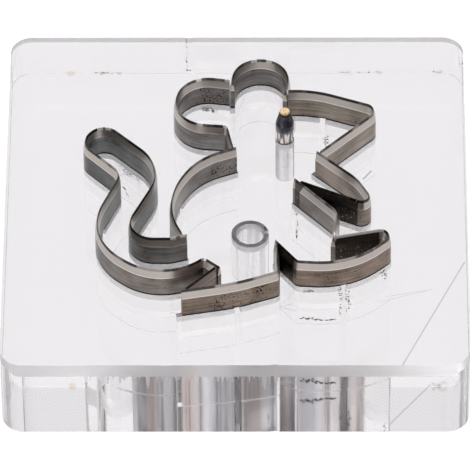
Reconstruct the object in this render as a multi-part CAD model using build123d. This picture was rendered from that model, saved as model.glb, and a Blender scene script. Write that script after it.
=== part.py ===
from build123d import *
import os
from dataclasses import dataclass
from math import degrees

# Hand-made cutting die: a thick clear acrylic block with narrow slots right through it, and
# steel cutting rules bent to the outline of a small animal and pressed into the slots.
# A hollow punch cuts the eye. Millimetres, +Z up, origin at the middle of the block's
# bottom face, +X to the right and +Y away from the viewer.

# Acrylic block
block_width = 105.0
block_depth = 104.0
block_thickness = 22.0
block_corner_radius = 5.0
block_edge_break = 0.1

# Scars of the two tabs that held the block in its sheet, one on the front, one on the back
tab_scar_depth = 0.2
front_tab_x = 8.8
front_tab_width = 1.8
back_tab_x = -11.2
back_tab_width = 1.4

# Steel cutting rule, ground on both sides to a centred edge
rule_thickness = 1.05
rule_height = 30.0
long_bevel_height = 1.9
long_bevel_top_thickness = 0.42
edge_bevel_height = 0.7
edge_land = 0.04
tight_bend_inner_radius = 0.3

# Fits between rule and slot, and between one rule's end and the rule it meets
slot_clearance = 0.04
butt_gap = 0.06
slot_end_clearance = 0.3
slot_overrun = 1.2

# Bridges: acrylic left across a slot, with a notch in the rule's back that straddles it
bridge_width = 1.4
bridge_notch_clearance = 0.15

# The outline: plan points below are given for a figure of this drawn length
drawn_length = 73.0
figure_length = 73.0

# Eye punch, a tube turned to a sharp rim, with a slug outlet milled in its side
punch_centre = (11.1, 18.9)
punch_diameter = 4.2
punch_bore_diameter = 2.4
punch_rim_wall = 0.16
punch_cone_height = 2.8
punch_clearance = 0.05
outlet_width = 2.6
outlet_height = 2.5
outlet_base_above_block = 0.7
outlet_corner_radius = 0.8

# Slug of cut material left in the punch
slug_clearance = 0.03
slug_length = 5.0
slug_proud = 1.1
slug_crown = 0.4

# Ring slot in the middle of the figure, cut right through but for one small bridge
ring_centre = (3.25, -11.5)
ring_outer_diameter = 8.5
ring_slot_width = 1.05
ring_bridge_width = 0.8
ring_bridge_angle = 8.0

rule_bevel_start = rule_height - edge_bevel_height - long_bevel_height
slot_width = rule_thickness + 2 * slot_clearance
tightest_bend = tight_bend_inner_radius + rule_thickness / 2
figure_scale = figure_length / drawn_length


def plan(x, y):
    """A point of the drawn figure at its real size."""
    return (x * figure_scale, y * figure_scale)


def bent_path(points, radii):
    """Centreline of one rule: straight runs joined by bends of the given drawn radii.

    A radius of 0 stands for the tightest bend that the rule takes.
    """
    corners = [plan(x, y) for x, y in points]
    if not radii:
        return Polyline(corners)
    return FilletPolyline(corners, radius=[max(r * figure_scale, tightest_bend) for r in radii])


def upper_ear_path():
    return bent_path([(-0.95, 28.9), (-1.0, 36.6), (11.9, 36.6), (11.9, 29.0), (11.1, 25.6)],
                     [6.3, 6.3, 5.0])


def rear_ear_path():
    return bent_path([(-0.95, 29.85), (-12.9, 31.7), (-14.7, 16.3), (-2.1, 15.2), (-0.6, 8.0)],
                     [7.4, 7.4, 0])


def back_path():
    return bent_path([(0.0, 8.3), (-9.0, 4.7), (-16.5, -8.9), (-11.75, -19.35)],
                     [16.0, 17.5])


def tail_path():
    return bent_path([(-11.0, -19.2), (-14.6, -20.3), (-26.6, -20.3), (-16.1, 2.4),
                      (-30.2, 16.3), (-35.8, 10.4), (-26.05, 0.2), (-34.3, -19.8),
                      (-16.0, -33.9), (-7.1, -26.3), (-3.5, -29.3)],
                     [5.0, 5.2, 11.0, 3.9, 3.9, 3.4, 14.5, 13.2, 0])


def left_sole_path():
    return bent_path([(-4.1, -28.8), (-11.6, -36.4)], [])


def front_path():
    return bent_path([(-12.0, -36.5), (0.0, -34.2), (9.5, -30.6), (9.25, -21.2)],
                     [46.0, 0])


def right_foot_path():
    return bent_path([(9.0, -20.9), (14.0, -27.4), (25.9, -28.2), (34.95, -20.0),
                      (33.6, -17.4), (22.1, -19.85)],
                     [1.2, 19.0, 1.85, 1.85])


def belly_path():
    return bent_path([(21.95, -20.6), (23.1, -12.2), (13.3, -1.6)], [3.2])


def arm_path():
    return bent_path([(13.6, -1.9), (28.8, -9.1), (30.55, -7.3), (27.5, -1.6), (18.4, 7.0)],
                     [1.7, 1.7, 14.0])


def snout_path():
    return bent_path([(18.8, 6.6), (33.2, 20.9), (17.6, 26.75), (11.4, 26.6)], [2.2, 25.0])


@dataclass
class Rule:
    """One bent rule: its centreline and how it and its slot are finished.

    bridges are places along the centreline, as shares of its length, butts_on names the
    rules that its ends are ground to, and slot_run is how far the slot runs on past the
    start and the end.
    """

    path: Wire
    bridges: tuple = ()
    butts_on: tuple = ()
    slot_run: tuple = (0.0, 0.0)


def lay_out_rules():
    """All rules of the outline, each under the name of its piece."""
    end = slot_end_clearance
    return {
        "upper_ear_rule": Rule(upper_ear_path(), slot_run=(end, end)),
        "rear_ear_rule": Rule(rear_ear_path(), (0.32,), ("upper_ear_rule", "back_rule")),
        "back_rule": Rule(back_path(), (0.5,), ("tail_rule",), (end, 0.0)),
        "tail_rule": Rule(tail_path(), (0.66,), (), (end, end)),
        "left_sole_rule": Rule(left_sole_path(), (), ("tail_rule", "front_rule")),
        "front_rule": Rule(front_path(), (0.4,), ("right_foot_rule",), (slot_overrun, 0.0)),
        "right_foot_rule": Rule(right_foot_path(), (0.41,), ("belly_rule",), (end, 0.0)),
        "belly_rule": Rule(belly_path(), slot_run=(end, end)),
        "arm_rule": Rule(arm_path(), (), ("belly_rule",), (0.0, slot_overrun)),
        "snout_rule": Rule(snout_path(), (0.79,), ("arm_rule", "upper_ear_rule")),
    }


def rule_section():
    """Cross-section of the rule, x across its thickness and y up its height."""
    side = [(rule_thickness / 2, 0), (rule_thickness / 2, rule_bevel_start),
            (long_bevel_top_thickness / 2, rule_bevel_start + long_bevel_height),
            (edge_land / 2, rule_height)]
    other_side = [(-x, y) for x, y in reversed(side)]
    return Polyline(side + other_side, close=True)


def slab_section(width, height):
    """Plain upright rectangle, centred on the path and standing on the bottom face."""
    half = width / 2
    return Polyline([(half, 0), (half, height), (-half, height), (-half, 0)], close=True)


def follow(path, section):
    """Solid of an upright section along a path: each run extruded, each bend revolved."""
    pieces = []
    for edge in path.edges():
        start, heading = edge @ 0, edge % 0
        upright = Plane(origin=start, x_dir=heading.rotate(Axis.Z, 90), z_dir=heading)
        face = upright * make_face(section)
        if edge.geom_type == GeomType.LINE:
            pieces.append(extrude(face, amount=edge.length, dir=heading))
            continue
        centre = edge.arc_center
        turns_left = heading.cross(centre - start).Z > 0
        spin = Axis(centre, (0, 0, 1 if turns_left else -1))
        pieces.append(revolve(face, axis=spin, revolution_arc=degrees(edge.length / edge.radius)))
    return pieces[0] + pieces[1:]


def box_across(path, place, width, height):
    """Box across the path at a share of its length, standing on the bottom face."""
    frame = Plane(origin=path @ place, x_dir=path % place, z_dir=(0, 0, 1))
    reach = 3 * slot_width
    return frame * Box(width, reach, height, align=(Align.CENTER, Align.CENTER, Align.MIN))


def make_rule(rule, rules):
    """One bent rule with its bridge notches, its ends ground to the rules that they meet."""
    solid = follow(rule.path, rule_section())
    notch_width = bridge_width + 2 * bridge_notch_clearance
    for place in rule.bridges:
        solid -= box_across(rule.path, place, notch_width, block_thickness + bridge_notch_clearance)
    for name in rule.butts_on:
        solid -= follow(rules[name].path, slab_section(rule_thickness + 2 * butt_gap, rule_height))
    # An offcut on the far side of a butt joint drops away.
    return max(solid.solids(), key=lambda piece: piece.volume)


def make_slot(rule):
    """What is cut away for one rule, with its bridges left standing."""
    slot = follow(rule.path, slab_section(slot_width, block_thickness))
    for place, run in zip((0, 1), rule.slot_run):
        if run:
            outward = rule.path % place * (1 if place else -1)
            frame = Plane(origin=rule.path @ place, x_dir=outward, z_dir=(0, 0, 1))
            slot += frame * Box(run, slot_width, block_thickness,
                                align=(Align.MIN, Align.CENTER, Align.MIN))
    for place in rule.bridges:
        slot -= box_across(rule.path, place, bridge_width, block_thickness)
    return slot


def make_ring_slot():
    """Annular slot whose core stays in the block on one small bridge."""
    outer_radius = ring_outer_diameter / 2
    upright = (Align.CENTER, Align.CENTER, Align.MIN)
    ring = Cylinder(outer_radius, block_thickness, align=upright)
    ring -= Cylinder(outer_radius - ring_slot_width, block_thickness, align=upright)
    ring -= Rot(0, 0, ring_bridge_angle) * Box(
        ring_outer_diameter, ring_bridge_width, block_thickness,
        align=(Align.MIN, Align.CENTER, Align.MIN))
    return Pos(*plan(*ring_centre), 0) * ring


def make_tab_scar(x, y, width):
    """Shallow upright groove where a tab was snapped off a side of the block."""
    return Pos(x, y, block_thickness / 2) * Box(width, 2 * tab_scar_depth, block_thickness)


def make_block(slots):
    """Clear block with rounded corners, broken edges, its slots and the punch hole."""
    block = extrude(RectangleRounded(block_width, block_depth, block_corner_radius),
                    amount=block_thickness)
    by_height = block.faces().sort_by(Axis.Z)
    block = fillet(by_height[0].edges() + by_height[-1].edges(), radius=block_edge_break)
    hole = Cylinder(punch_diameter / 2 + punch_clearance, block_thickness,
                    align=(Align.CENTER, Align.CENTER, Align.MIN))
    scars = [make_tab_scar(front_tab_x, -block_depth / 2, front_tab_width),
             make_tab_scar(back_tab_x, block_depth / 2, back_tab_width)]
    for cut in [*slots, Pos(*plan(*punch_centre), 0) * hole, *scars]:
        block -= cut
    return block


def make_punch():
    """Hollow punch: straight shank, coned tip with a thin rim, bore and side outlet."""
    shank, bore = punch_diameter / 2, punch_bore_diameter / 2
    profile = Polyline([(bore, 0), (shank, 0), (shank, rule_height - punch_cone_height),
                        (bore + punch_rim_wall, rule_height), (bore, rule_height)], close=True)
    punch = revolve(Plane.XZ * make_face(profile), axis=Axis.Z)
    outlet = Box(punch_diameter, outlet_width, outlet_height,
                 align=(Align.MIN, Align.CENTER, Align.MIN))
    outlet = fillet(outlet.edges().filter_by(Axis.X), radius=outlet_corner_radius)
    punch -= Pos(0, 0, block_thickness + outlet_base_above_block) * outlet
    return Pos(*plan(*punch_centre), 0) * punch


def make_slug():
    """Slug that stands a little proud of the punch's rim, with a softly crowned end."""
    slug = Cylinder(punch_bore_diameter / 2 - slug_clearance, slug_length,
                    align=(Align.CENTER, Align.CENTER, Align.MIN))
    slug = fillet(slug.edges().sort_by(Axis.Z)[-1], radius=slug_crown)
    return Pos(*plan(*punch_centre), rule_height + slug_proud - slug_length) * slug


rules = lay_out_rules()
parts = {name: make_rule(rule, rules) for name, rule in rules.items()}
parts["acrylic_block"] = make_block([make_ring_slot(), *[make_slot(rule) for rule in rules.values()]])
parts["eye_punch"] = make_punch()
parts["cut_slug"] = make_slug()

os.makedirs("parts", exist_ok=True)
for name, shape in parts.items():
    export_step(shape, f"parts/{name}.step")
    print(name, "solids", len(shape.solids()), "volume", round(shape.volume, 1))
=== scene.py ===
"""A steel rule cutting die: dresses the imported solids, adds their fine marks, and lights them."""

import logging
import math
import random
from dataclasses import dataclass, field, replace
from enum import Enum

import bpy
from mathutils import Matrix, Vector


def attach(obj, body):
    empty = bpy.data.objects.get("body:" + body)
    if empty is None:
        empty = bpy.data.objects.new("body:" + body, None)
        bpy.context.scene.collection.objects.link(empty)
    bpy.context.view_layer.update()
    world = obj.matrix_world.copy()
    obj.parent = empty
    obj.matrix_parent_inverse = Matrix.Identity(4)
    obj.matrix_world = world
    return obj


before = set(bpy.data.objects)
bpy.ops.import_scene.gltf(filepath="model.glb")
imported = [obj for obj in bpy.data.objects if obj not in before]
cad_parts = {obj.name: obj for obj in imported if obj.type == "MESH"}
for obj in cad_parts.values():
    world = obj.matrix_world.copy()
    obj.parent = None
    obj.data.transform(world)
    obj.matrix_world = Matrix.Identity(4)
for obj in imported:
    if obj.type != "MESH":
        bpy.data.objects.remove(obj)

Tree = bpy.types.NodeTree
Socket = bpy.types.NodeSocket

LOG = logging.getLogger("cutting_die")
MM = 0.001
WHITE = (1.0, 1.0, 1.0, 1.0)

# Height of the block's top face, and half the width of a change of finish that looks sharp
BLOCK_TOP_MM = 22.0
SHARP_MM = 0.05

# A line of sight crosses many slot walls before it leaves the block
GLASS_BOUNCES = 24
GLOSS_BOUNCES = 12


class Surface(Enum):
    """How a surface meets light: which of the shader's sockets a finish sets."""

    METAL = "metal"
    CLEAR = "clear"
    DULL = "dull"


class Lean(Enum):
    """How steep a surface is: the height of its normal, and how far from that still counts."""

    WALL = (0.0, 0.3)
    BROKEN_EDGE = (0.7, 0.25)


def linear(colour: str) -> tuple[float, float, float, float]:
    """Turn an sRGB hex colour into the linear values a shader takes.

    Args:
        colour: six hex digits, with or without a leading hash.

    Returns:
        Linear red, green and blue, and an alpha of 1.
    """
    digits = colour.lstrip("#")
    channels = [int(digits[i:i + 2], 16) / 255 for i in (0, 2, 4)]
    bent = [c / 12.92 if c <= 0.04045 else ((c + 0.055) / 1.055) ** 2.4 for c in channels]
    return (*bent, 1.0)


def add_node(tree: Tree, kind: str, settings: dict | None = None,
             inputs: dict | None = None) -> bpy.types.Node:
    """Add one node, set its properties, and set or link its inputs.

    Args:
        tree: the node tree it goes into.
        kind: the node's type name.
        settings: property names and their values.
        inputs: socket names or numbers, each with a plain value or another node's output.

    Returns:
        The new node.
    """
    node = tree.nodes.new(kind)
    for name, value in (settings or {}).items():
        setattr(node, name, value)
    for name, value in (inputs or {}).items():
        if isinstance(value, Socket):
            tree.links.new(value, node.inputs[name])
        else:
            node.inputs[name].default_value = value
    return node


def object_place(tree: Tree) -> Socket:
    """Object coordinates: metres in the shared frame, as every object stands at its origin."""
    return add_node(tree, "ShaderNodeTexCoord").outputs["Object"]


def coordinate(tree: Tree, place: Socket, axis: str) -> Socket:
    """Take one coordinate, X, Y or Z, out of a place or a direction."""
    return add_node(tree, "ShaderNodeSeparateXYZ", inputs={"Vector": place}).outputs[axis]


def calculate(tree: Tree, operation: str, *values: object) -> Socket:
    """Do one sum or comparison on plain values.

    Args:
        tree: the material's nodes.
        operation: the Math node's name for it.
        values: what goes in, in the node's order.

    Returns:
        The result.
    """
    return add_node(tree, "ShaderNodeMath", {"operation": operation},
                    dict(enumerate(values))).outputs["Value"]


def remap(tree: Tree, value: object, limits: tuple, ends: tuple = (0.0, 1.0)) -> Socket:
    """Stretch a value from one span onto another, and hold it beyond the ends.

    Args:
        tree: the material's nodes.
        value: the value.
        limits: the span that it comes from.
        ends: the span that it goes to.

    Returns:
        The stretched value.
    """
    return add_node(tree, "ShaderNodeMapRange",
                    inputs={"Value": value, "From Min": limits[0], "From Max": limits[1],
                            "To Min": ends[0], "To Max": ends[1]}).outputs["Result"]


def smooth_step(tree: Tree, value: object, at_mm: float, soft_mm: float = SHARP_MM) -> Socket:
    """A value that goes from 0 to 1 where a length passes a limit.

    Args:
        tree: the material's nodes.
        value: the length, in metres.
        at_mm: the limit.
        soft_mm: half the width of the change, so that it doesn't show as steps.

    Returns:
        The value.
    """
    return remap(tree, value, ((at_mm - soft_mm) * MM, (at_mm + soft_mm) * MM))


def plan_distance(tree: Tree, place: Socket, centre: tuple) -> Socket:
    """How far a place lies from an upright axis.

    Args:
        tree: the material's nodes.
        place: Object coordinates.
        centre: where the axis stands, in mm.

    Returns:
        The distance, in metres.
    """
    level = add_node(tree, "ShaderNodeVectorMath", {"operation": "MULTIPLY"},
                     {0: place, 1: (1, 1, 0)}).outputs["Vector"]
    return add_node(tree, "ShaderNodeVectorMath", {"operation": "DISTANCE"},
                    {0: level, 1: (centre[0] * MM, centre[1] * MM, 0)}).outputs["Value"]


def mix(tree: Tree, share: object, low: object, high: object) -> Socket:
    """Mix two plain values, as blend does for colours."""
    return add_node(tree, "ShaderNodeMix", {"data_type": "FLOAT"},
                    {"Factor": share, "A": low, "B": high}).outputs["Result"]


def blend(tree: Tree, share: object, low: object, high: object) -> Socket:
    """Mix two colours.

    Args:
        tree: the material's nodes.
        share: how much of the second one shows.
        low: the first colour, a value or a socket.
        high: the second colour, a value or a socket.

    Returns:
        The mixed colour.
    """
    return add_node(tree, "ShaderNodeMix", {"data_type": "RGBA"},
                    {"Factor": share, "A": low, "B": high}).outputs["Result"]


def shade_by(tree: Tree, share: object, base: object, shade: object) -> Socket:
    """Multiply a colour by another.

    Args:
        tree: the material's nodes.
        share: how much of the change shows.
        base: the colour, a value or a socket.
        shade: what it is multiplied by, a value or a socket.

    Returns:
        The shaded colour.
    """
    return add_node(tree, "ShaderNodeMix", {"data_type": "RGBA", "blend_type": "MULTIPLY"},
                    {"Factor": share, "A": base, "B": shade}).outputs["Result"]


def pattern_scale(period_mm: float) -> float:
    """Noise scale that gives features of about this size on Object coordinates in metres."""
    return 1.0 / (period_mm * MM)


@dataclass(frozen=True)
class Grain:
    """Noise as in a sawn, rolled or beam-cut wall.

    It says how wide one feature is, how many times taller than wide, and how much finer noise is
    laid over it.
    """

    width_mm: float
    stretch: float = 1.0
    detail: float = 3.0

    def noise(self, tree: Tree, place: Socket) -> Socket:
        """Add the noise.

        Args:
            tree: the material's nodes.
            place: Object coordinates.

        Returns:
            The noise, from 0 to 1.
        """
        if self.stretch != 1.0:
            place = add_node(tree, "ShaderNodeMapping",
                             inputs={"Vector": place,
                                     "Scale": (1.0, 1.0, 1.0 / self.stretch)}).outputs["Vector"]
        return add_node(tree, "ShaderNodeTexNoise",
                        inputs={"Vector": place, "Scale": pattern_scale(self.width_mm * 2),
                                "Detail": self.detail}).outputs["Fac"]


@dataclass(frozen=True)
class Veil:
    """A shade laid over a colour where a pattern is low: full at one value, gone at another."""

    full_at: float
    gone_at: float
    shade: str

    def over(self, tree: Tree, base: object, pattern: Socket) -> Socket:
        """Lay the shade over a colour.

        Args:
            tree: the material's nodes.
            base: the colour, a value or a socket.
            pattern: what says where.

        Returns:
            The shaded colour.
        """
        gone = remap(tree, pattern, (self.full_at, self.gone_at))
        return shade_by(tree, 1.0, base, blend(tree, gone, linear(self.shade), WHITE))


@dataclass(frozen=True)
class Finish:
    """One finish: a name that says material and making, and the shader's typical values."""

    name: str
    colour: str
    roughness: float
    surface: Surface = Surface.DULL
    ior: float = 1.45

    def start(self) -> tuple[bpy.types.Material, Tree, bpy.types.Node]:
        """Make the material with its shader and its constant sockets.

        Returns:
            The material, its node tree and its Principled shader.
        """
        material = bpy.data.materials.new(self.name)
        material.use_nodes = True
        tree = material.node_tree
        shader = tree.nodes["Principled BSDF"]
        shader.inputs["Base Color"].default_value = linear(self.colour)
        shader.inputs["Roughness"].default_value = self.roughness
        if self.surface is Surface.METAL:
            shader.inputs["Metallic"].default_value = 1.0
        else:
            shader.inputs["IOR"].default_value = self.ior
        if self.surface is Surface.CLEAR:
            shader.inputs["Transmission Weight"].default_value = 1.0
        return material, tree, shader


@dataclass(frozen=True)
class Mark:
    """A scratch, a stain or caught dirt: a tint along a straight line on the acrylic's skin.

    The tint is solid over the inner share of its reach. Where it has a grain, the grain pushes
    its outline out by shares of that reach, after it has been drawn in by another share.
    """

    start: tuple
    end: tuple
    reach_mm: float
    shade: str
    grain_mm: float = 0.0
    solid: float = 0.5
    pushed_out: float = 5.0
    drawn_in: float = 1.9

    def tint(self, tree: Tree, place: Socket, base: object) -> Socket:
        """Lay the mark over a colour.

        Args:
            tree: the material's nodes.
            place: Object coordinates.
            base: the colour under it, a value or a socket.

        Returns:
            The colour with the mark.
        """
        start, end = Vector(self.start) * MM, Vector(self.end) * MM
        line = end - start
        offset = add_node(tree, "ShaderNodeVectorMath", {"operation": "SUBTRACT"},
                          {0: place, 1: start}).outputs["Vector"]
        share = add_node(tree, "ShaderNodeVectorMath", {"operation": "DOT_PRODUCT"},
                         {0: offset, 1: line / line.length_squared}).outputs["Value"]
        held = add_node(tree, "ShaderNodeClamp", inputs={"Value": share}).outputs["Result"]
        nearest = add_node(tree, "ShaderNodeVectorMath", {"operation": "SCALE"},
                           {0: line, "Scale": held}).outputs["Vector"]
        away = add_node(tree, "ShaderNodeVectorMath", {"operation": "DISTANCE"},
                        {0: offset, 1: nearest}).outputs["Value"]
        if self.grain_mm:
            ragged = calculate(tree, "MULTIPLY_ADD", Grain(self.grain_mm).noise(tree, place),
                               self.pushed_out * self.reach_mm * MM,
                               -self.drawn_in * self.reach_mm * MM)
            away = calculate(tree, "ADD", away, ragged)
        return Veil(self.solid * self.reach_mm * MM, self.reach_mm * MM,
                    self.shade).over(tree, base, away)


@dataclass(frozen=True)
class HazyBore:
    """A round cut through the block whose wall is hazy from top to bottom, in upright streaks.

    The clearest and the haziest streak are shares of its roughness.
    """

    centre: tuple
    radius_mm: float
    roughness: float
    streaks: Grain = Grain(0.7, 60.0)
    streak_limits: tuple = (0.38, 0.62)
    clearest: float = 0.6
    haziest: float = 1.3

    def haze(self, tree: Tree, place: Socket) -> Socket:
        """The bore's roughness, inside its radius.

        Args:
            tree: the material's nodes.
            place: Object coordinates.

        Returns:
            The roughness near the bore and 0 elsewhere.
        """
        near = calculate(tree, "LESS_THAN", plan_distance(tree, place, self.centre),
                         self.radius_mm * MM)
        streaks = remap(tree, self.streaks.noise(tree, place), self.streak_limits,
                        (self.clearest * self.roughness, self.haziest * self.roughness))
        return calculate(tree, "MULTIPLY", near, streaks)


@dataclass(frozen=True)
class CastAcrylic(Finish):
    """Cast acrylic with polished faces: water clear but for handling haze.

    The beam that cut its walls left a frosted band under the top and faint upright ripples below
    it. On the front wall, where the cut was slowest, the band ends in long spikes. The slots are
    finer: a thinner haze, a matt line where the beam left them, and bores that are hazy all over.
    """

    handling: Grain = Grain(4.5, 1.0, 4.0)
    handling_limits: tuple = (0.5, 0.8)
    handling_haze: float = 0.01
    frost_roughness: float = 0.75
    frost_depth_mm: float = 3.7
    frost_soft_mm: float = 0.2
    spikes: Grain = Grain(0.5, 200.0, 1.0)
    spike_limits: tuple = (0.5, 0.7)
    spike_length_mm: float = 4.4
    spikes_middle_mm: float = -12.0
    spikes_reach_mm: float = 22.0
    slot_frost_mm: float = 3.0
    slot_frost_roughness: float = 0.5
    exit_frost_mm: float = 0.3
    exit_soft_mm: float = 0.1
    streaks: Grain = Grain(0.9, 60.0)
    streak_limits: tuple = (0.45, 0.7)
    streak_haze: float = 0.22
    outer_walls_mm: float = 51.5
    outer_haze: float = 0.05
    edge_roughness: float = 0.6
    ripples: Grain = Grain(0.9, 40.0)
    ripple_height_mm: float = 0.006
    marks: tuple[Mark, ...] = ()
    bores: tuple[HazyBore, ...] = ()

    def make(self) -> bpy.types.Material:
        """Build the material, with its walls told from its faces by the way they point."""
        material, tree, shader = self.start()
        place = object_place(tree)
        rubbed = remap(tree, self.handling.noise(tree, place), self.handling_limits,
                       (self.roughness, self.roughness + self.handling_haze))
        rough = calculate(tree, "MAXIMUM", rubbed, self.cut_haze(tree, place))
        tree.links.new(rough, shader.inputs["Roughness"])
        ripple = add_node(tree, "ShaderNodeBump",
                          inputs={"Strength": self.leaning(tree, Lean.WALL),
                                  "Distance": self.ripple_height_mm * MM,
                                  "Height": self.ripples.noise(tree, place)})
        tree.links.new(ripple.outputs["Normal"], shader.inputs["Normal"])
        colour = linear(self.colour)
        for mark in self.marks:
            colour = mark.tint(tree, place, colour)
        tree.links.new(colour, shader.inputs["Base Color"])
        return material

    def leaning(self, tree: Tree, lean: Lean) -> Socket:
        """Tell walls, broken edges and level faces apart by how far up or down they point.

        Args:
            tree: the material's nodes.
            lean: the wanted kind of surface.

        Returns:
            1 where the surface leans so and 0 elsewhere.
        """
        normal = add_node(tree, "ShaderNodeNewGeometry").outputs["Normal"]
        tilt = calculate(tree, "ABSOLUTE", coordinate(tree, normal, "Z"))
        return calculate(tree, "COMPARE", tilt, *lean.value)

    def cut_haze(self, tree: Tree, place: Socket) -> Socket:
        """The roughness that cutting left on the walls and scraping left on the edges.

        Args:
            tree: the material's nodes.
            place: Object coordinates.

        Returns:
            The roughness, which is 0 on the block's faces.
        """
        height = coordinate(tree, place, "Z")
        back = coordinate(tree, place, "Y")
        behind = smooth_step(tree, back, -self.outer_walls_mm)
        inner = calculate(tree, "COMPARE", back, 0.0, self.outer_walls_mm * MM)
        band = smooth_step(tree, self.frost_reach(tree, place, behind, height), BLOCK_TOP_MM,
                           self.frost_soft_mm)
        frost = mix(tree, inner, self.frost_roughness, self.slot_frost_roughness)
        streaks = remap(tree, self.streaks.noise(tree, place), self.streak_limits,
                        (0.0, self.streak_haze))
        above_exit = smooth_step(tree, height, self.exit_frost_mm, self.exit_soft_mm)
        slots = mix(tree, above_exit, self.slot_frost_roughness, streaks)
        outer = mix(tree, behind, self.outer_haze, 0.0)
        below = mix(tree, inner, outer, slots)
        for bore in self.bores:
            below = calculate(tree, "MAXIMUM", below, bore.haze(tree, place))
        walls = calculate(tree, "MULTIPLY", mix(tree, band, below, frost),
                          self.leaning(tree, Lean.WALL))
        scraped = calculate(tree, "MULTIPLY", self.leaning(tree, Lean.BROKEN_EDGE),
                            self.edge_roughness)
        return calculate(tree, "MAXIMUM", walls, scraped)

    def frost_reach(self, tree: Tree, place: Socket, behind: Socket, height: Socket) -> Socket:
        """Add the frosted band's depth to the height, with the spikes on the front wall.

        Args:
            tree: the material's nodes.
            place: Object coordinates.
            behind: 0 on the front wall and 1 behind it.
            height: the height above the block's bottom face, in metres.

        Returns:
            A length that passes the block's top where the frost begins.
        """
        slow = calculate(tree, "COMPARE", coordinate(tree, place, "X"),
                         self.spikes_middle_mm * MM, self.spikes_reach_mm * MM)
        spikes = calculate(tree, "MULTIPLY", self.spikes.noise(tree, place), slow)
        deepest = self.frost_depth_mm + self.spike_length_mm
        front_depth = remap(tree, spikes, self.spike_limits,
                            (self.frost_depth_mm * MM, deepest * MM))
        depth = mix(tree, behind, front_depth, self.slot_frost_mm * MM)
        return calculate(tree, "ADD", depth, height)


@dataclass(frozen=True)
class Run:
    """A straight run of a rule: the plan line that it follows, with a reach to either side."""

    start: tuple
    end: tuple
    reach_mm: float = 1.2

    def mask(self, tree: Tree, place: Socket) -> Socket:
        """Build a mask of the run.

        Args:
            tree: the material's nodes.
            place: Object coordinates.

        Returns:
            1 along the run and 0 elsewhere.
        """
        start, end = Vector(self.start) * MM, Vector(self.end) * MM
        along = (end - start).normalized()
        across = Vector((-along.y, along.x))
        found = []
        for way, middle, reach in ((across, start, self.reach_mm * MM),
                                   (along, (start + end) / 2, (end - start).length / 2)):
            dot = add_node(tree, "ShaderNodeVectorMath", {"operation": "DOT_PRODUCT"},
                           {0: place, 1: (*way, 0)}).outputs["Value"]
            found.append(calculate(tree, "COMPARE", dot, way.dot(middle), reach))
        return calculate(tree, "MULTIPLY", *found)


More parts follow.
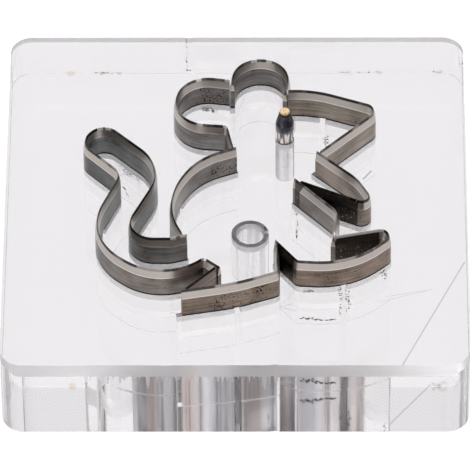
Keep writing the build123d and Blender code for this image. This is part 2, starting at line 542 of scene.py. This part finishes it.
@dataclass(frozen=True)
class RuleSteel(Finish):
    """Hardened steel rule: an oxide body, bevels ground bright, and an edge dark from hardening.

    The part that sat in its slot since the die was made kept its paler skin, and dirt has
    gathered in a line where the rule leaves the block.
    """

    sunk_colour: str = "#fdfeff"
    ground_colour: str = "#d2cac3"
    highlight_line_colour: str = "#f6f1ee"
    edge_colour: str = "#96918e"
    burnt_edge_colour: str = "#454242"
    bright_edge_colour: str = "#ffffff"
    dark_band_colour: str = "#141211"
    dust_colour: str = "#d8d6d2"
    ground_roughness: float = 0.34
    dirt_line_mm: float = 0.42
    dark_band_soft_mm: float = 0.06
    bevel_start_mm: float = 27.4
    # Painted highlight: a thin bright line where the bevel meets the body
    highlight_line_mm: float = 0.16
    edge_start_mm: float = 29.3
    varnished_before_mm: float = -16.0
    varnish_soft_mm: float = 5.0
    varnish_shade: str = "#fff8f2"
    # Painted shade: the body is darkened beyond this depth, on the far faces that the nearer rules
    # shade
    painted_shade_beyond_mm: float = 25.0
    painted_shade_soft_mm: float = 3.0
    painted_back_shade: str = "#e0dddc"
    temper: Grain = Grain(3.2, 30.0, 1.0)
    blue_temper_offset: tuple = (0.05, 0.0, 0.0)
    warm_stain: Veil = Veil(0.32, 0.46, "#e6d6ce")
    blue_stain: Veil = Veil(0.36, 0.50, "#d2d1d5")
    rubs: Grain = Grain(0.6, 60.0)
    rub_shade: Veil = Veil(0.34, 0.5, "#bab8b9")
    rolling: Grain = Grain(4.0, 0.05)
    rolling_shade: Veil = Veil(0.3, 0.6, "#c4c0bd")
    clouds: Grain = Grain(3.0, 1.5)
    cloud_shade: Veil = Veil(0.35, 0.65, "#c9c7c5")
    specks: Grain = Grain(0.2, 1.3, 2.0)
    clouds_in_pits: float = 0.35
    pit_shade: Veil = Veil(0.44, 0.50, "#625e5c")
    deep_pit_shade: Veil = Veil(0.54, 0.60, "#5e5955")
    grinding: Grain = Grain(0.12, 0.05)
    grinding_shade: Veil = Veil(0.3, 0.6, "#cbc8c6")
    burning: Grain = Grain(3.5, 3.0)
    burnt_limits: tuple = (0.42, 0.5)
    dust: Grain = Grain(0.16, 1.0, 1.0)
    dust_limits: tuple = (0.7, 0.74)
    soiled_shade: str = "#7c7a7a"
    soiled_runs: tuple[Run, ...] = ()
    pitted_runs: tuple[Run, ...] = ()
    bright_edge_runs: tuple[Run, ...] = ()
    # Painted highlights: white spots on the edge at the bends, standing in for glints
    glint_spots_mm: tuple = ()
    glint_radius_mm: float = 0.7

    def make(self) -> bpy.types.Material:
        """Build the material, in bands of height as the strip was rolled, ground and hardened."""
        material, tree, shader = self.start()
        place = object_place(tree)
        height = coordinate(tree, place, "Z")
        bevel = smooth_step(tree, height, self.bevel_start_mm)
        body = blend(tree, smooth_step(tree, height, BLOCK_TOP_MM), self.sunk(tree, place),
                     self.body(tree, place, height))
        colour = blend(tree, bevel, body, self.bevels(tree, place, height))
        colour = self.soil(tree, place, height, colour)
        colour = blend(tree, self.bright_edge(tree, place, height), colour, linear(self.bright_edge_colour))
        rough = remap(tree, bevel, (0.0, 1.0), (self.roughness, self.ground_roughness))
        tree.links.new(colour, shader.inputs["Base Color"])
        tree.links.new(rough, shader.inputs["Roughness"])
        return material

    def sunk(self, tree: Tree, place: Socket) -> Socket:
        """The body inside its slot: pale, with upright temper stains and rubs from driving it in.

        Args:
            tree: the material's nodes.
            place: Object coordinates.

        Returns:
            The sunk body's colour.
        """
        colour = self.warm_stain.over(tree, linear(self.sunk_colour),
                                      self.temper.noise(tree, place))
        elsewhere = add_node(tree, "ShaderNodeMapping",
                             inputs={"Vector": place, "Location": self.blue_temper_offset})
        colour = self.blue_stain.over(tree, colour,
                                      self.temper.noise(tree, elsewhere.outputs["Vector"]))
        return self.rub_shade.over(tree, colour, self.rubs.noise(tree, place))

    def body(self, tree: Tree, place: Socket, height: Socket) -> Socket:
        """The oxide body: level rolling streaks, patches of small pits, painted shade toward the
        back and the line of dirt.

        Args:
            tree: the material's nodes.
            place: Object coordinates.
            height: the height above the block's bottom face, in metres.

        Returns:
            The body's colour.
        """
        colour = self.rolling_shade.over(tree, linear(self.colour),
                                         self.rolling.noise(tree, place))
        clouds = self.clouds.noise(tree, place)
        colour = self.cloud_shade.over(tree, colour, clouds)
        # Painted shade: the body is darkened toward the back, on the far faces that the nearer
        # rules shade
        back = coordinate(tree, place, "Y")
        back_shaded = smooth_step(tree, back, self.painted_shade_beyond_mm, self.painted_shade_soft_mm)
        colour = shade_by(tree, back_shaded, colour, linear(self.painted_back_shade))
        bare = smooth_step(tree, back, self.varnished_before_mm, self.varnish_soft_mm)
        colour = shade_by(tree, 1.0, colour, blend(tree, bare, linear(self.varnish_shade), WHITE))
        pits = calculate(tree, "MULTIPLY_ADD", clouds, self.clouds_in_pits,
                         self.specks.noise(tree, place))
        colour = self.pit_shade.over(tree, colour, pits)
        for run in self.pitted_runs:
            deep = self.deep_pit_shade.over(tree, colour, pits)
            colour = blend(tree, run.mask(tree, place), colour, deep)
        clean = smooth_step(tree, height, BLOCK_TOP_MM + self.dirt_line_mm, self.dark_band_soft_mm)
        return blend(tree, clean, linear(self.dark_band_colour), colour)

    def bevels(self, tree: Tree, place: Socket, height: Socket) -> Socket:
        """The ground bevels: a painted highlight line at their foot, level grinding lines, and the
        dark edge above.

        Args:
            tree: the material's nodes.
            place: Object coordinates.
            height: the height above the block's bottom face, in metres.

        Returns:
            The bevels' colour.
        """
        ground = self.grinding_shade.over(tree, linear(self.ground_colour),
                                          self.grinding.noise(tree, place))
        # Painted highlight: a thin bright line where the bevel meets the body
        highlight_line_end = smooth_step(tree, height, self.bevel_start_mm + self.highlight_line_mm)
        ground = blend(tree, highlight_line_end, linear(self.highlight_line_colour), ground)
        burnt = remap(tree, self.burning.noise(tree, place), self.burnt_limits)
        edge = blend(tree, burnt, linear(self.edge_colour), linear(self.burnt_edge_colour))
        return blend(tree, smooth_step(tree, height, self.edge_start_mm), ground, edge)

    def soil(self, tree: Tree, place: Socket, height: Socket, colour: Socket) -> Socket:
        """Dark, oily runs above the block, with specks of pale dust stuck to them.

        Args:
            tree: the material's nodes.
            place: Object coordinates.
            height: the height above the block's bottom face, in metres.
            colour: the clean steel's colour.

        Returns:
            The colour with the soiled runs.
        """
        for run in self.soiled_runs:
            mask = calculate(tree, "MULTIPLY", run.mask(tree, place),
                             smooth_step(tree, height, BLOCK_TOP_MM))
            oily = shade_by(tree, mask, colour, linear(self.soiled_shade))
            dust = remap(tree, self.dust.noise(tree, place), self.dust_limits)
            colour = blend(tree, calculate(tree, "MULTIPLY", mask, dust), oily,
                           linear(self.dust_colour))
        return colour

    def bright_edge(self, tree: Tree, place: Socket, height: Socket) -> Socket:
        """Spots at the bends where the edge is painted white as a glint, a painted highlight, and
        runs where it is painted white too.

        Args:
            tree: the material's nodes.
            place: Object coordinates.
            height: the height above the block's bottom face, in metres.

        Returns:
            1 where the edge is painted white and 0 elsewhere.
        """
        masks = [run.mask(tree, place) for run in self.bright_edge_runs]
        masks += [calculate(tree, "LESS_THAN", plan_distance(tree, place, spot),
                            self.glint_radius_mm * MM) for spot in self.glint_spots_mm]
        found = 0.0
        for mask in masks:
            found = calculate(tree, "MAXIMUM", mask, found)
        return calculate(tree, "MULTIPLY", found,
                         smooth_step(tree, height, self.edge_start_mm))


@dataclass(frozen=True)
class BluedPunchSteel(Finish):
    """Turned tool steel: blue-black oxide on the cone and neck, worn to grey metal lower down.

    The oxide is rubbed paler in patches, and bright upright streaks run up the worn part, partly
    scores and partly a painted highlight of the turned steel. Dirt lies in a line where the punch
    leaves the block.
    """

    rubbed_colour: str = "#77757d"
    worn_colour: str = "#7f7676"
    pale_steel_colour: str = "#f6efec"
    dark_band_colour: str = "#1d1a1a"
    worn_below_mm: float = 25.4
    worn_soft_mm: float = 0.5
    wander_mm: float = 2.6
    patches: Grain = Grain(0.7, 1.5)
    rubbed_limits: tuple = (0.48, 0.62)
    scores_and_glints: Grain = Grain(0.3, 9.0)
    scores_and_glints_limits: tuple = (0.5, 0.6)
    dirt_top_mm: float = 22.3
    dark_band_soft_mm: float = 0.1

    def make(self) -> bpy.types.Material:
        """Build the material, with its uneven change from blued to worn steel."""
        material, tree, shader = self.start()
        place = object_place(tree)
        height = coordinate(tree, place, "Z")
        patches = self.patches.noise(tree, place)
        wander = calculate(tree, "MULTIPLY_ADD", patches, self.wander_mm * MM, height)
        blued = smooth_step(tree, wander, self.worn_below_mm + self.wander_mm / 2,
                            self.worn_soft_mm)
        rubbed = remap(tree, patches, self.rubbed_limits)
        oxide = blend(tree, rubbed, linear(self.colour), linear(self.rubbed_colour))
        # Bright upright streaks: partly scores, partly a painted highlight of the lamps on the
        # turned steel
        scores_and_glints = remap(tree, self.scores_and_glints.noise(tree, place), self.scores_and_glints_limits)
        worn = blend(tree, scores_and_glints, linear(self.worn_colour), linear(self.pale_steel_colour))
        clean = smooth_step(tree, height, self.dirt_top_mm, self.dark_band_soft_mm)
        stained = blend(tree, clean, linear(self.dark_band_colour), blend(tree, blued, worn, oxide))
        above = smooth_step(tree, height, BLOCK_TOP_MM)
        tree.links.new(blend(tree, above, linear(self.pale_steel_colour), stained),
                       shader.inputs["Base Color"])
        return material


@dataclass(frozen=True)
class CutLeather(Finish):
    """Vegetable-tanned leather seen on its pressed grain: pale tan, dull, a little mottled."""

    dark_band_colour: str = "#3b2a1e"
    grain: Grain = Grain(0.25)
    grain_shade: Veil = Veil(0.38, 0.56, "#dcc5a2")
    unshaded_above_mm: float = 30.6
    shade_spread_mm: float = 1.1
    dark_band_soft_mm: float = 0.2

    def make(self) -> bpy.types.Material:
        """Build the material, with painted shade low on the slug's side, down to where it meets the
        rim.
        """
        material, tree, shader = self.start()
        place = object_place(tree)
        grain = self.grain.noise(tree, place)
        tan = self.grain_shade.over(tree, linear(self.colour), grain)
        # Painted shade: the slug's side is darkened below a ragged line, down to the punch's rim
        ragged = calculate(tree, "MULTIPLY_ADD", grain, -self.shade_spread_mm * MM,
                           coordinate(tree, place, "Z"))
        clean = smooth_step(tree, ragged, self.unshaded_above_mm - self.shade_spread_mm / 2,
                            self.dark_band_soft_mm)
        tree.links.new(blend(tree, clean, linear(self.dark_band_colour), tan),
                       shader.inputs["Base Color"])
        return material


@dataclass(frozen=True)
class CaughtGrime(Finish):
    """Oily steel dust, pressed dry: near black and quite dull, with browner grains in it."""

    grain_colour: str = "#5b514b"
    grain: Grain = Grain(0.2)

    def make(self) -> bpy.types.Material:
        """Build the material, dark with browner grains."""
        material, tree, shader = self.start()
        grains = self.grain.noise(tree, object_place(tree))
        tree.links.new(blend(tree, grains, linear(self.colour), linear(self.grain_colour)),
                       shader.inputs["Base Color"])
        return material


def dress(node: str, material: bpy.types.Material) -> None:
    """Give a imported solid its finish.

    Args:
        node: the solid's name in the frame.
        material: what it is dressed in.
    """
    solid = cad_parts[node]
    solid.data.materials.clear()
    solid.data.materials.append(material)
    LOG.info("%s dressed in %s", node, material.name)


@dataclass
class AcrylicBlock:
    """The clear block with its slots."""

    scratches: tuple[Mark, ...] = (
        Mark((51.6, -20.4, 22.0), (37.3, -52.0, 22.0), 0.22, "#b9b3b7"),
        Mark((43.5, -52.0, 15.5), (34.7, -52.0, 2.6), 0.24, "#b9b3b4"),
        Mark((29.0, 5.9, 22.0), (30.8, 8.4, 22.0), 0.24, "#8f8b8d"),
        Mark((32.0, -32.7, 22.0), (42.6, -29.4, 22.0), 0.14, "#dcd7da"),
        Mark((33.8, -31.1, 22.0), (44.2, -28.8, 22.0), 0.14, "#dcd7da"),
    )
    stains: tuple[Mark, ...] = (
        Mark((-39.2, 52.0, 0.2), (-37.6, 52.0, 0.2), 1.3, "#e6cdb8", 0.8),
        Mark((-33.3, 52.0, 0.2), (-27.5, 52.0, 0.2), 0.9, "#a39c93", 0.7),
        Mark((24.0, 52.0, 0.2), (26.3, 52.0, 0.2), 0.8, "#a39e99", 0.7),
        Mark((32.4, 52.0, 0.2), (33.3, 52.0, 0.2), 0.7, "#a39e99", 0.7),
        Mark((46.2, 52.0, 0.2), (47.2, 52.0, 0.2), 0.7, "#a39e99", 0.7),
    )
    tab_scars: tuple[Mark, ...] = (
        Mark((7.4, -52.0, 6.2), (7.4, -52.0, 0.4), 0.45, "#8c8788", 0.4),
    )
    punch_hole: HazyBore = HazyBore((11.1, 18.9), 2.4, 0.4)
    ring_slot: HazyBore = HazyBore((3.25, -11.5), 4.5, 0.3)
    slab: CastAcrylic = CastAcrylic("cast acrylic, cut and polished", "#f7f5f7", 0.0,
                                    Surface.CLEAR, 1.49)

    def build(self) -> None:
        """Dress the block."""
        slab = replace(self.slab, marks=self.scratches + self.stains + self.tab_scars,
                       bores=(self.punch_hole, self.ring_slot))
        dress("acrylic_block", slab.make())


@dataclass(frozen=True)
class DirtPatch:
    """Dirt on a wall of the acrylic: a straight run along it in mm, and the way it faces."""

    start: tuple
    end: tuple
    facing: tuple
    flakes: int
    spread_mm: float
    size: float = 1.0


@dataclass
class SlotGrime:
    """Flakes of dirt just inside the walls of the slots and of the block's back edge.

    There they stop the wall's mirror shine. The seed and the order of the draws fix their places.
    """

    finish: CaughtGrime = CaughtGrime("oily steel dust, pressed dry", "#24201f", 0.9)
    flake_mm: float = 0.19
    unevenness: float = 0.4
    thickness: float = 0.12
    sizes: tuple = (0.35, 1.5)
    height_shares: tuple = (0.5, 1.2)
    bedded_mm: float = 0.05
    lowest_mm: float = 0.4
    highest_mm: float = 21.6
    seed: int = 5
    patches: tuple[DirtPatch, ...] = (
        DirtPatch((15.2, -28.05, 19.7), (17.3, -28.19, 19.8), (0.07, 1.0), 22, 0.3),
        DirtPatch((15.0, -28.03, 3.4), (19.0, -28.26, 3.0), (0.05, 1.0), 60, 0.35),
        DirtPatch((19.04, -28.26, 2.75), (20.85, -28.19, 2.6), (-0.05, 1.0), 20, 0.2),
        DirtPatch((20.85, -28.19, 2.6), (22.66, -27.93, 2.7), (-0.14, 1.0), 20, 0.2),
        DirtPatch((24.87, -26.25, 20.5), (24.92, -26.45, 5.5), (0.96, 0.27), 24, 0.4),
        DirtPatch((23.6, -27.74, 21.0), (23.6, -27.74, 5.0), (-0.2, 0.98), 30, 0.22),
        DirtPatch((25.5, -27.18, 20.0), (25.5, -27.18, 6.0), (-0.34, 0.94), 26, 0.22),
        DirtPatch((33.3, -22.26, 21.0), (33.9, -21.7, 15.0), (-0.67, 0.74), 34, 0.35),
        DirtPatch((13.87, -3.05, 19.0), (13.87, -3.05, 2.0), (0.73, 0.68), 40, 0.25),
        DirtPatch((-10.39, -34.37, 19.6), (-10.39, -34.37, 17.6), (0.71, -0.7), 18, 0.4),
        DirtPatch((-8.0, 29.86, 20.0), (-6.5, 30.03, 18.0), (-0.11, 1.0), 54, 0.5, 0.7),
        DirtPatch((-6.5, 30.03, 20.0), (-4.9, 29.89, 17.4), (0.09, 1.0), 60, 0.5, 0.7),
        DirtPatch((-11.75, 51.8, 21.0), (-11.75, 51.8, 2.4), (0.0, 1.0), 14, 0.04),
        DirtPatch((-11.2, 51.8, 2.6), (-11.2, 51.8, 2.0), (0.0, 1.0), 6, 0.2),
        DirtPatch((-33.3, 52.0, 0.6), (-27.5, 52.0, 0.6), (0.0, 1.0), 9, 0.1),
        DirtPatch((24.0, 52.0, 0.6), (33.5, 52.0, 0.6), (0.0, 1.0), 8, 0.1),
        DirtPatch((20.59, 24.98, 12.0), (20.59, 24.98, 6.0), (0.3, 0.95), 22, 0.3),
        DirtPatch((-26.3, 11.67, 17.0), (-22.3, 7.72, 18.5), (0.7, 0.71), 130, 1.1, 0.6),
        DirtPatch((45.6, 52.0, 0.8), (48.6, 52.0, 1.0), (0.0, 1.0), 40, 0.4, 0.5),
        DirtPatch((24.0, 52.0, 0.8), (26.3, 52.0, 0.8), (0.0, 1.0), 14, 0.4, 0.5),
        DirtPatch((32.4, 52.0, 0.9), (33.4, 52.0, 0.9), (0.0, 1.0), 14, 0.6, 0.5),
        DirtPatch((-25.8, 11.18, 7.0), (-24.9, 10.28, 2.6), (0.7, 0.71), 16, 0.4),
        DirtPatch((6.38, -8.65, 21.3), (6.84, -9.24, 20.9), (-0.73, -0.68), 12, 0.12),
    )

    def build(self) -> None:
        """Shape one flake, lay its copies along the patches, and join them."""
        rng = random.Random(self.seed)
        bpy.ops.object.select_all(action="DESELECT")
        bpy.ops.mesh.primitive_ico_sphere_add(subdivisions=1, radius=self.flake_mm * MM)
        flake = bpy.context.object
        bpy.ops.object.mode_set(mode="EDIT")
        bpy.ops.mesh.select_all(action="SELECT")
        bpy.ops.transform.vertex_random(offset=self.flake_mm * MM * self.unevenness,
                                       seed=self.seed)
        bpy.ops.transform.resize(value=(1.0, self.thickness, 1.0))
        bpy.ops.mesh.normals_make_consistent(inside=False)
        bpy.ops.object.mode_set(mode="OBJECT")
        copies = [self.lay(flake, patch, rng) for patch in self.patches
                  for _ in range(patch.flakes)]
        bpy.data.objects.remove(flake)
        bpy.ops.object.select_all(action="DESELECT")
        for copy in copies:
            copy.select_set(True)
        bpy.context.view_layer.objects.active = copies[0]
        bpy.ops.object.join()
        grime = bpy.context.object
        grime.name = "slot_grime"
        bpy.ops.object.transform_apply(location=True, rotation=True, scale=True)
        grime.data.materials.append(self.finish.make())
        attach(grime, "root")
        LOG.info("slot_grime: %d flakes", len(copies))

    def lay(self, flake: bpy.types.Object, patch: DirtPatch,
            rng: random.Random) -> bpy.types.Object:
        """Lay one copy of the flake somewhere on a patch, bedded in the acrylic.

        Args:
            flake: the flake to copy.
            patch: the run of wall that it goes on.
            rng: where its chance values come from.

        Returns:
            The copy, with its own mesh.
        """
        facing = Vector((*patch.facing, 0.0)).normalized()
        level = Vector((facing.y, -facing.x, 0.0))
        at = Vector(patch.start).lerp(Vector(patch.end), rng.random())
        at += level * rng.gauss(0.0, patch.spread_mm)
        at.z = min(max(at.z + rng.gauss(0.0, patch.spread_mm), self.lowest_mm), self.highest_mm)
        copy = flake.copy()
        copy.data = flake.data.copy()
        bpy.context.collection.objects.link(copy)
        turn = Matrix((level, facing, Vector((0, 0, 1)))).transposed().to_4x4()
        size = rng.uniform(*self.sizes) * patch.size
        stretch = Matrix.Diagonal((size, 1.0, size * rng.uniform(*self.height_shares), 1.0))
        copy.matrix_world = (Matrix.Translation((at - facing * self.bedded_mm) * MM)
                             @ turn @ stretch)
        return copy


class OxideTone(Enum):
    """The body's shade, which differs from strip to strip."""

    BROWN = "#a2968c"
    UMBER = "#989592"
    GREY_BROWN = "#95908c"
    GREY = "#9a9796"
    PALE = "#aca498"


@dataclass
class CuttingRules:
    """The bent rules of the outline."""

    tones: dict[str, OxideTone] = field(default_factory=lambda: {
        "front_rule": OxideTone.BROWN,
        "left_sole_rule": OxideTone.BROWN,
        "right_foot_rule": OxideTone.BROWN,
        "snout_rule": OxideTone.PALE,
        "arm_rule": OxideTone.BROWN,
        "belly_rule": OxideTone.GREY_BROWN,
        "back_rule": OxideTone.GREY_BROWN,
        "tail_rule": OxideTone.UMBER,
    })
    changes: dict[OxideTone, dict] = field(default_factory=lambda: {
        # The tail takes the painted shade everywhere behind its front curve
        OxideTone.UMBER: {"sunk_colour": "#d0d0d2", "painted_shade_beyond_mm": -25.0,
                          "painted_back_shade": "#cdd4d8"},
    })
    heel: Run = Run((9.6, -21.2), (13.4, -26.6), 1.3)
    arm_underside: Run = Run((13.6, -1.9), (27.8, -8.6))
    toe_top: Run = Run((22.3, -19.8), (32.3, -17.7))
    pitted_runs: tuple[Run, ...] = (
        Run((-5.6, 5.3), (0.5, 8.6), 2.0),
        Run((-9.0, 30.3), (-2.0, 30.3), 2.0),
        Run((-5.2, -36.4), (7.0, -33.2), 2.0),
    )
    # Painted highlights: where the edge glints at the bends
    glint_spots_mm: tuple = ((4.0, 36.2), (7.5, 36.3), (-8.7, 30.4), (-2.0, 30.0), (-8.3, 15.8),
                             (-2.3, 15.2), (-31.0, 14.3), (-29.2, 14.5), (-14.0, -20.1),
                             (-11.8, -19.4), (32.7, -17.7), (-7.0, -26.5))

    def build(self) -> None:
        """Dress every rule, each in the tone of its strip."""
        steels = {tone: self.steel(tone) for tone in OxideTone}
        for node in sorted(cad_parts):
            if node.endswith("_rule"):
                dress(node, steels[self.tones.get(node, OxideTone.GREY)])

    def steel(self, tone: OxideTone) -> bpy.types.Material:
        """Make the steel in one tone.

        Args:
            tone: the shade of the body.

        Returns:
            The material.
        """
        name = f"hardened steel rule, ground bevels, {tone.name.lower().replace('_', ' ')} oxide"
        return RuleSteel(name, tone.value, 0.32, Surface.METAL,
                         soiled_runs=(self.heel, self.arm_underside, self.toe_top),
                         pitted_runs=self.pitted_runs,
                         bright_edge_runs=(self.toe_top,),
                         glint_spots_mm=self.glint_spots_mm,
                         **self.changes.get(tone, {})).make()


@dataclass
class EyePunch:
    """The hollow punch of the eye and the slug stuck in it."""

    steel: BluedPunchSteel = BluedPunchSteel("blued tool steel, turned", "#44454f", 0.34,
                                             Surface.METAL)
    leather: CutLeather = CutLeather("vegetable-tanned leather, cut slug", "#e8cdaa", 0.8)

    def build(self) -> None:
        """Dress the punch and its slug."""
        dress("eye_punch", self.steel.make())
        dress("cut_slug", self.leather.make())


@dataclass
class Studio:
    """Pale floor, white surroundings and soft lamps."""

    floor_size: float = 4.0
    floor_drop: float = 0.00005
    floor_colour: str = "#e6e6e6"
    floor_lift: float = 0.40
    floor_lift_in_glass: float = 0.86
    floor_shade_in_glass: str = "#404040"
    room_light: float = 0.5
    room_in_glass: float = 0.8
    lamps: tuple = (
        ("overhead_softbox", (0.1, -0.3, 1.5), 0.9, 11.0),
        ("back_softbox", (-0.3, 0.4, 1.3), 0.9, 5.0),
    )

    def build(self) -> None:
        """Lay the floor, light the room and hang the lamps."""
        self.lay_floor()
        self.light_room()
        for name, place, size, power in self.lamps:
            self.hang_lamp(name, place, size, power)

    def seen(self, tree: Tree, direct: float, in_glass: float, otherwise: float) -> Socket:
        """One strength for each way in which the background is seen.

        Args:
            tree: the nodes to add to.
            direct: the strength for the camera's own rays and those that gloss sends on.
            in_glass: the strength for rays that come through the acrylic.
            otherwise: the strength for the light that falls on the object.

        Returns:
            The strength that suits each ray.
        """
        path = add_node(tree, "ShaderNodeLightPath")
        either = calculate(tree, "MAXIMUM", path.outputs["Is Camera Ray"],
                           path.outputs["Is Glossy Ray"])
        open_air = remap(tree, either, (0.0, 1.0), (otherwise, direct))
        return mix(tree, path.outputs["Is Transmission Ray"], open_air, in_glass)

    def lay_floor(self) -> None:
        """Make the floor, which looks white where light reaches it and still takes a shadow."""
        bpy.ops.object.select_all(action="DESELECT")
        bpy.ops.mesh.primitive_plane_add(size=self.floor_size, location=(0, 0, -self.floor_drop))
        floor = bpy.context.object
        floor.name = "floor"
        bpy.ops.object.transform_apply(location=True)
        material = bpy.data.materials.new("white paper floor")
        material.use_nodes = True
        tree = material.node_tree
        shader = tree.nodes["Principled BSDF"]
        through_glass = add_node(tree, "ShaderNodeLightPath").outputs["Is Transmission Ray"]
        colour = blend(tree, through_glass, linear(self.floor_colour),
                       linear(self.floor_shade_in_glass))
        tree.links.new(colour, shader.inputs["Base Color"])
        shader.inputs["Roughness"].default_value = 1.0
        shader.inputs["Emission Color"].default_value = WHITE
        lift = self.seen(tree, self.floor_lift, self.floor_lift_in_glass, 0.0)
        tree.links.new(lift, shader.inputs["Emission Strength"])
        floor.data.materials.append(material)

    def light_room(self) -> None:
        """Surround the object with white that lights it gently."""
        world = bpy.data.worlds.new("white_room")
        bpy.context.scene.world = world
        world.use_nodes = True
        tree = world.node_tree
        background = tree.nodes["Background"]
        background.inputs["Color"].default_value = WHITE
        strength = self.seen(tree, 1.0, self.room_in_glass, self.room_light)
        tree.links.new(strength, background.inputs["Strength"])

    def hang_lamp(self, name: str, place: tuple, size: float, power: float) -> None:
        """Hang one square soft lamp, aimed at the block.

        Args:
            name: the lamp's name.
            place: where it hangs, in metres.
            size: its side, in metres.
            power: its power, in watts.
        """
        bpy.ops.object.light_add(type="AREA", location=place)
        lamp = bpy.context.object
        lamp.name = name
        lamp.data.size = size
        lamp.data.energy = power
        lamp.rotation_euler = (-Vector(place)).to_track_quat("-Z", "Y").to_euler()


@dataclass
class PhotoCamera:
    """The camera at the photograph's place, a little left of centre and well above."""

    target: tuple = (-0.00017, -0.01181, 0.022)
    distance: float = 1.6021
    elevation: float = math.radians(46.14)
    yaw: float = math.radians(-0.660)
    roll: float = math.radians(-0.517)
    lens: float = 542.1
    sensor: float = 36.0
    sees_to: float = 20.0

    def build(self) -> None:
        """Place the camera and make it the scene's own."""
        level = math.cos(self.elevation)
        forward = Vector((math.sin(self.yaw) * level, math.cos(self.yaw) * level,
                          -math.sin(self.elevation)))
        right = Vector((math.cos(self.yaw), -math.sin(self.yaw), 0))
        up = right.cross(forward)
        tilted_right = math.cos(self.roll) * right + math.sin(self.roll) * up
        tilted_up = math.cos(self.roll) * up - math.sin(self.roll) * right
        turn = Matrix((tilted_right, tilted_up, -forward)).transposed().to_4x4()
        bpy.ops.object.camera_add()
        camera = bpy.context.object
        camera.name = "photo_camera"
        camera.data.lens = self.lens
        camera.data.sensor_width = self.sensor
        camera.data.clip_end = self.sees_to
        place = Vector(self.target) - forward * self.distance
        camera.matrix_world = Matrix.Translation(place) @ turn
        bpy.context.scene.camera = camera


def main() -> None:
    """Dress the die, light it and place the camera."""
    logging.basicConfig(level=logging.INFO, format="%(message)s")
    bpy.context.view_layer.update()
    AcrylicBlock().build()
    CuttingRules().build()
    EyePunch().build()
    SlotGrime().build()
    Studio().build()
    PhotoCamera().build()
    scene = bpy.context.scene
    scene.view_settings.view_transform = "Standard"
    scene.cycles.max_bounces = GLASS_BOUNCES
    scene.cycles.transmission_bounces = GLASS_BOUNCES
    scene.cycles.glossy_bounces = GLOSS_BOUNCES


if __name__ == "__main__":
    main()
